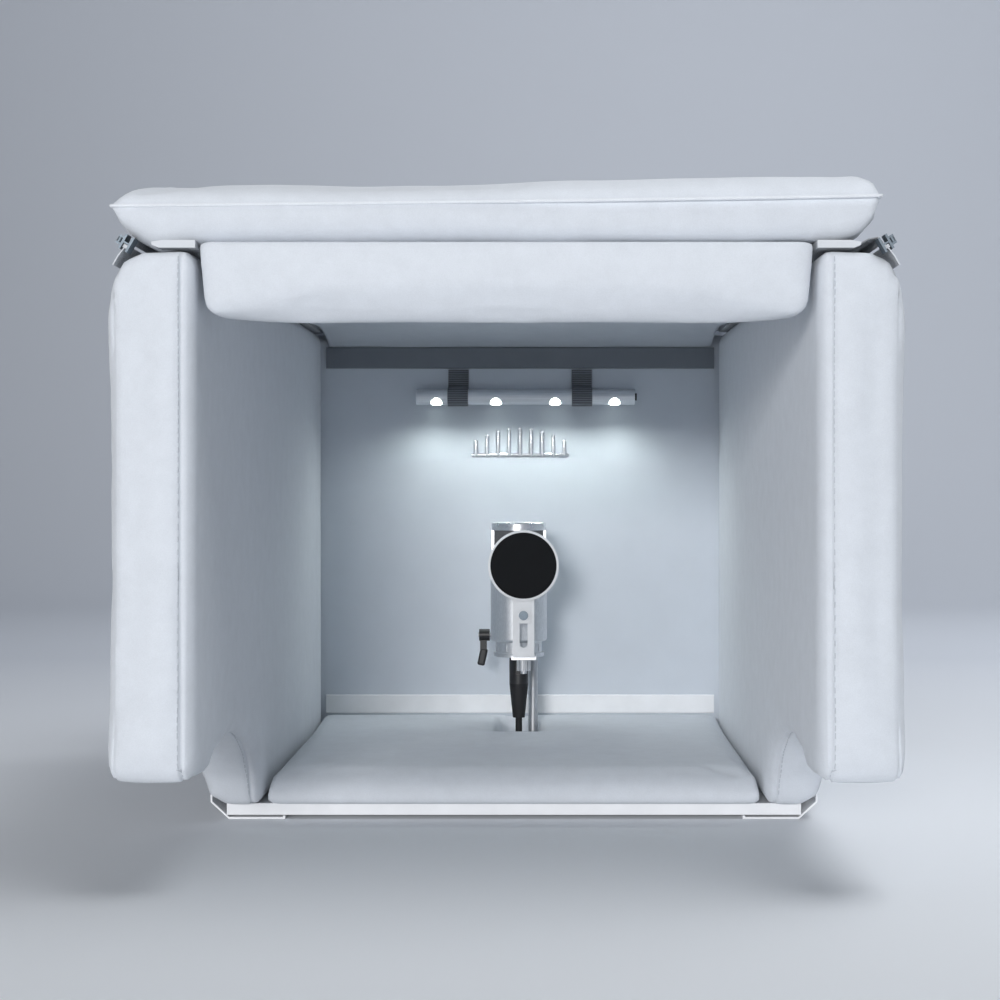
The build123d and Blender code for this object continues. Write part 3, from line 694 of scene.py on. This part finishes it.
def hinge_cloth():
    """Cloth that joins the rear wall to the roof."""
    low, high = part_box("roof_hinge_cloth")
    bm = bmesh.new()
    columns, rows = 60, 16
    sides = []
    for y in (low.y + 0.1 * MM, high.y):
        grid = []
        for i in range(columns + 1):
            x = low.x + (high.x - low.x) * i / columns
            grid.append([bm.verts.new((x, y, low.z + (high.z - low.z) * j / rows)) for j in range(rows + 1)])
        sides.append(grid)
    for grid in sides:
        for a, b in zip(grid, grid[1:]):
            for j in range(rows):
                bm.faces.new((a[j], b[j], b[j + 1], a[j + 1]))
    inner, outer = sides
    for i in range(columns):
        for j in (0, rows):
            bm.faces.new((inner[i][j], inner[i + 1][j], outer[i + 1][j], outer[i][j]))
    for i in (0, columns):
        for j in range(rows):
            bm.faces.new((inner[i][j], inner[i][j + 1], outer[i][j + 1], outer[i][j]))
    made = piece("hinge_cloth", from_bmesh(bm, "hinge_cloth"), None, FELT, ("roof_hinge_cloth",))
    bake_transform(made)


# ---- zips ------------------------------------------------------------------------------------


def teeth(side, sign):
    """Zip teeth on both tapes: a small rounded hook every 2.4 mm, one row half a step behind the other."""
    across = Vector((-sin(ZIP_TURN) * sign, 0, cos(ZIP_TURN)))
    middle = Vector((sign * ZIP_X, 0, ZIP_Z))
    for half, body, node in ((-1, "shell", f"zip_side_{side}"), (1, "roof", f"zip_roof_{side}")):
        low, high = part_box(node)
        y0 = low.y if half < 0 else FRONT_Y + 16 * MM
        bm = bmesh.new()
        pitch = 2.4 * MM
        count = int((high.y - y0) / pitch)
        for i in range(count):
            y = y0 + (i + (0.25 if half > 0 else 0.75)) * pitch
            root = middle + across * half * 2.7 * MM + Vector((0, y, 0))
            tip = middle + across * half * 1.7 * MM + Vector((0, y, 0))
            capsule(bm, root, tip, 0.85 * MM, sides=6, rings=1, flat=(Vector((0, 1, 0)), 0.8))
        piece(f"zip_teeth_{body}_{side}", from_bmesh(bm, "teeth"), body, ZIP_METAL)


# ---- lead ------------------------------------------------------------------------------------


def lead():
    """Short straight lead from the floor connector up into the boot."""
    low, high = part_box("mic_lead")
    middle = (low + high) / 2
    steps = 14
    line = [Vector((middle.x, middle.y, low.z + (high.z - low.z) * i / steps)) for i in range(steps + 1)]
    made = tube("lead", line, (high.x - low.x) / 2, None, BLACK_RUBBER, sides=24)
    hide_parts("mic_lead")
    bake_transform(made)


# ---- ornament --------------------------------------------------------------------------------


def ornament():
    """Domed chrome bars on a base line, in place of lettering."""
    low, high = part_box("badge")
    bm = bmesh.new()
    squash = (Vector((0, 1, 0)), 0.55)
    y = WALL_Y - 0.6 * MM
    r = 2.4 * MM
    z0 = low.z + 1.2 * MM
    capsule(bm, Vector((low.x + r, y, z0)), Vector((high.x - r, y, z0)), 1.7 * MM, 16, 4, squash)
    count = 9
    for i in range(count):
        x = (i - (count - 1) / 2) * 12 * MM
        top = low.z + 1 * MM + (12 + 16 * sin(pi * (i + 0.5) / count)) * MM
        capsule(bm, Vector((x, y, z0)), Vector((x, y, top)), r, 16, 4, squash)
    piece("ornament", from_bmesh(bm, "ornament"), "shell", CHROME, ("badge",))


# ---- carried-over nodes ------------------------------------------------------------------------

FINISHES = {
    "base_board": WHITE_BOARD, "bracket_left": WHITE_STEEL, "bracket_right": WHITE_STEEL,
    # the top rail's dark grey is partly its own grey and partly painted shade
    "bracket_screws": STEEL, "stand_inserts": BRASS, "top_rail": GREY_RAIL_PAINTED_SHADE, "bottom_rail": WHITE_STEEL,
    "light_straps": ELASTIC, "zip_side_left": TAPE, "zip_side_right": TAPE, "zip_roof_left": TAPE,
    "zip_roof_right": TAPE, "zip_slider_left": ZIP_METAL, "zip_slider_right": ZIP_METAL,
    "zip_pull_left": ZIP_METAL, "zip_pull_right": ZIP_METAL, "light_tube": ALUMINIUM, "light_lenses": LED,
    "light_end_caps": ALUMINIUM, "light_batteries": CELLS, "light_switch": BLACK_PLASTIC,
    "mic_carriage": BLACK_STEEL, "mic_post": SATIN_STEEL, "swivel_axle": SATIN_STEEL,
    "floor_connector": SATIN_STEEL, "clamp_lever": BLACK_PLASTIC,
    "mic_cradle": NICKEL, "mic_collar": NICKEL, "mic_body": NICKEL, "mic_grille_frame": BRIGHT,
    "mic_grille_mesh": WIRE, "mic_capsule": BRASS, "mic_circuit_board": CIRCUIT, "xlr_plug": BLACK_PLASTIC,
    "xlr_boot": BLACK_RUBBER, "pop_bracket": SILVER, "thumb_screw": SATIN_STEEL, "pop_ring": SILVER,
    "pop_mesh": GAUZE, "pop_screw": ZIP_METAL,
}


def dress_nodes():
    for name, mat in FINISHES.items():
        obj = nodes[name]
        obj.data.materials.clear()
        obj.data.materials.append(mat)
        obj.data.shade_smooth()
        obj.data.set_sharp_from_angle(angle=radians(35))


# ---- floor, lights, camera ---------------------------------------------------------------------


def stage():
    """A pale floor that curves up into a backdrop behind, painted lighter near the front and darker towards
    the back as painted shade.
    """
    mat, tree, shader = material("backdrop", (0.66, 0.69, 0.75), 0.9)
    axes = add(tree, "ShaderNodeSeparateXYZ", [("Vector", object_space(tree))])
    away = add(tree, "ShaderNodeMapRange", [("Value", axes.outputs["Y"])], From_Min=-1.2, From_Max=2.6)
    # painted shade: the floor and backdrop colour darkens from the front towards the back, standing in for
    # light falling off
    tint(tree, shader, away.outputs["Result"], (0.86, 0.88, 0.91), (0.60, 0.63, 0.69))
    bm = bmesh.new()
    sweep = [pi / 2 * k / 16 for k in range(17)]
    profile = [(-9.0, 0.0)] + [(2.7 + 1.8 * sin(a), 1.8 - 1.8 * cos(a)) for a in sweep] + [(4.5, 6.0)]
    rows = [[bm.verts.new((x, y, z)) for x in (-7.0, 7.0)] for y, z in profile]
    for a, b in zip(rows, rows[1:]):
        bm.faces.new((a[0], a[1], b[1], b[0]))
    mesh = from_bmesh(bm, "floor")
    floor = bpy.data.objects.new("floor", mesh)
    scene.collection.objects.link(floor)
    mesh.materials.append(mat)
    mesh.polygons.foreach_set("use_smooth", [True] * len(mesh.polygons))


def area_light(name, place, aim, size, power, color=(1, 1, 1), beam=pi):
    data = bpy.data.lights.new(name, "AREA")
    data.shape = "RECTANGLE"
    data.size, data.size_y = size
    data.energy = power
    data.color = color
    data.spread = beam
    light = bpy.data.objects.new(name, data)
    light.location = place
    light.rotation_euler = (Vector(aim) - Vector(place)).to_track_quat("-Z", "Y").to_euler()
    scene.collection.objects.link(light)


def lights():
    """Key from behind the camera, soft fills, and a spot below each lit lens."""
    world = bpy.data.worlds.new("world")
    world.use_nodes = True
    background = world.node_tree.nodes["Background"]
    background.inputs["Color"].default_value = (0.86, 0.92, 1.0, 1)
    background.inputs["Strength"].default_value = 0.11
    scene.world = world
    scene.view_settings.view_transform = "Standard"
    area_light("key", (-1.15, -8.0, 1.45), (0, 0.1, 0.25), (1.5, 1.2), 280)
    area_light("side_fill", (-1.5, -2.2, 0.25), (0, 0.0, 0.25), (0.9, 0.9), 14)
    area_light("cross_fill", (2.4, -2.2, 0.5), (0, 0.0, 0.2), (1.2, 1.2), 5, (0.92, 0.96, 1))
    area_light("overhead", (0.9, -0.7, 2.6), (0.6, -0.6, 0), (2.2, 1.2), 14, (0.94, 0.97, 1), radians(110))
    area_light("backdrop_light", (0.9, 1.2, 2.4), (0.9, 3.6, 0.2), (2.4, 0.8), 52, (0.94, 0.97, 1))
    for x, y, z in led_spots():
        data = bpy.data.lights.new("led_light", "SPOT")
        data.energy = 0.29
        data.color = (0.93, 1.0, 0.96)
        data.shadow_soft_size = 4 * MM
        data.spot_size = radians(168)
        data.spot_blend = 1.0
        lamp = bpy.data.objects.new("led_light", data)
        lamp.location = (x, y - 20 * MM, z - 6 * MM)
        lamp.rotation_euler = (radians(-15), 0, 0)
        scene.collection.objects.link(lamp)


def led_spots():
    """Centres of the four lit lenses."""
    low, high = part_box("light_lenses")
    r = (high.z - low.z) / 2
    return [(low.x + r + (high.x - low.x - 2 * r) * i / 3, low.y + r, low.z + r) for i in range(4)]


def camera():
    """Level camera in front of the opening, a little right of centre."""
    data = bpy.data.cameras.new("camera")
    data.sensor_width = 36
    data.lens = 69.9
    data.shift_x = -0.044
    data.shift_y = -0.018
    cam = bpy.data.objects.new("camera", data)
    cam.location = (0.026, FRONT_Y - 1.335, 0.2915)
    cam.rotation_euler = (radians(90), 0, 0)
    scene.collection.objects.link(cam)
    scene.camera = cam


camera()
for side, sign in (("left", -1), ("right", 1)):
    corner_piping(side, sign, side_panel(side, sign))
    teeth(side, sign)
rear_wall()
floor_pad()
valance()
roof()
ceiling()
hinge_cloth()
lead()
ornament()
dress_nodes()
stage()
lights()
